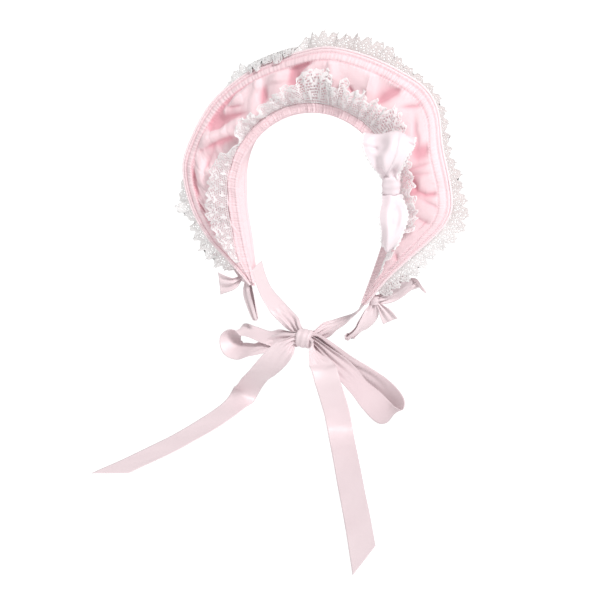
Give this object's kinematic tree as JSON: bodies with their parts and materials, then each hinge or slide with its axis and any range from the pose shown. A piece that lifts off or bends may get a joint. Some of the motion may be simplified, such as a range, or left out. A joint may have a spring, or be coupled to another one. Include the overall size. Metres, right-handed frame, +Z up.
{
  "type": "half bonnet",
  "caption": "Half bonnet with a gathered, padded cotton brim, lace edgings, satin side and end bows, and satin ties in a bow under the chin",
  "frame": {"origin": "top centre of the head opening, on the seam between brim and crown band, where the bonnet sits on the crown of the head", "axes": "+Z up, the wearer faces -Y, +X is the wearer's left"},
  "size_m": [0.3095, 0.3596, 0.3599],
  "materials": {
    "pink_cotton": "matt plain-weave cotton over soft wadding",
    "white_lace": "matt white cotton bobbin lace",
    "pale_satin": "soft-sheen satin ribbon"
  },
  "bodies": {
    "root": {"brim": "pink_cotton", "edge_piping": "pink_cotton", "face_binding": "pink_cotton", "crown_band": "pink_cotton", "outer_lace": "white_lace", "inner_lace": "white_lace", "side_bow_upper_loop": "pale_satin", "side_bow_lower_loop": "pale_satin", "side_bow_knot": "pale_satin", "left_end_bow_knot": "pale_satin", "left_end_bow_lower_loop": "pale_satin", "left_end_bow_upper_loop": "pale_satin", "left_end_bow_square_tail": "pale_satin", "left_end_bow_pointed_tail": "pale_satin", "right_end_bow_knot": "pale_satin", "right_end_bow_lower_loop": "pale_satin", "right_end_bow_upper_loop": "pale_satin", "right_end_bow_square_tail": "pale_satin", "right_end_bow_pointed_tail": "pale_satin", "left_tie": "pale_satin", "right_tie": "pale_satin", "chin_knot": "pale_satin", "chin_left_loop": "pale_satin", "chin_right_loop": "pale_satin", "chin_left_tail": "pale_satin", "chin_right_tail": "pale_satin"}
  },
  "joints": []
}
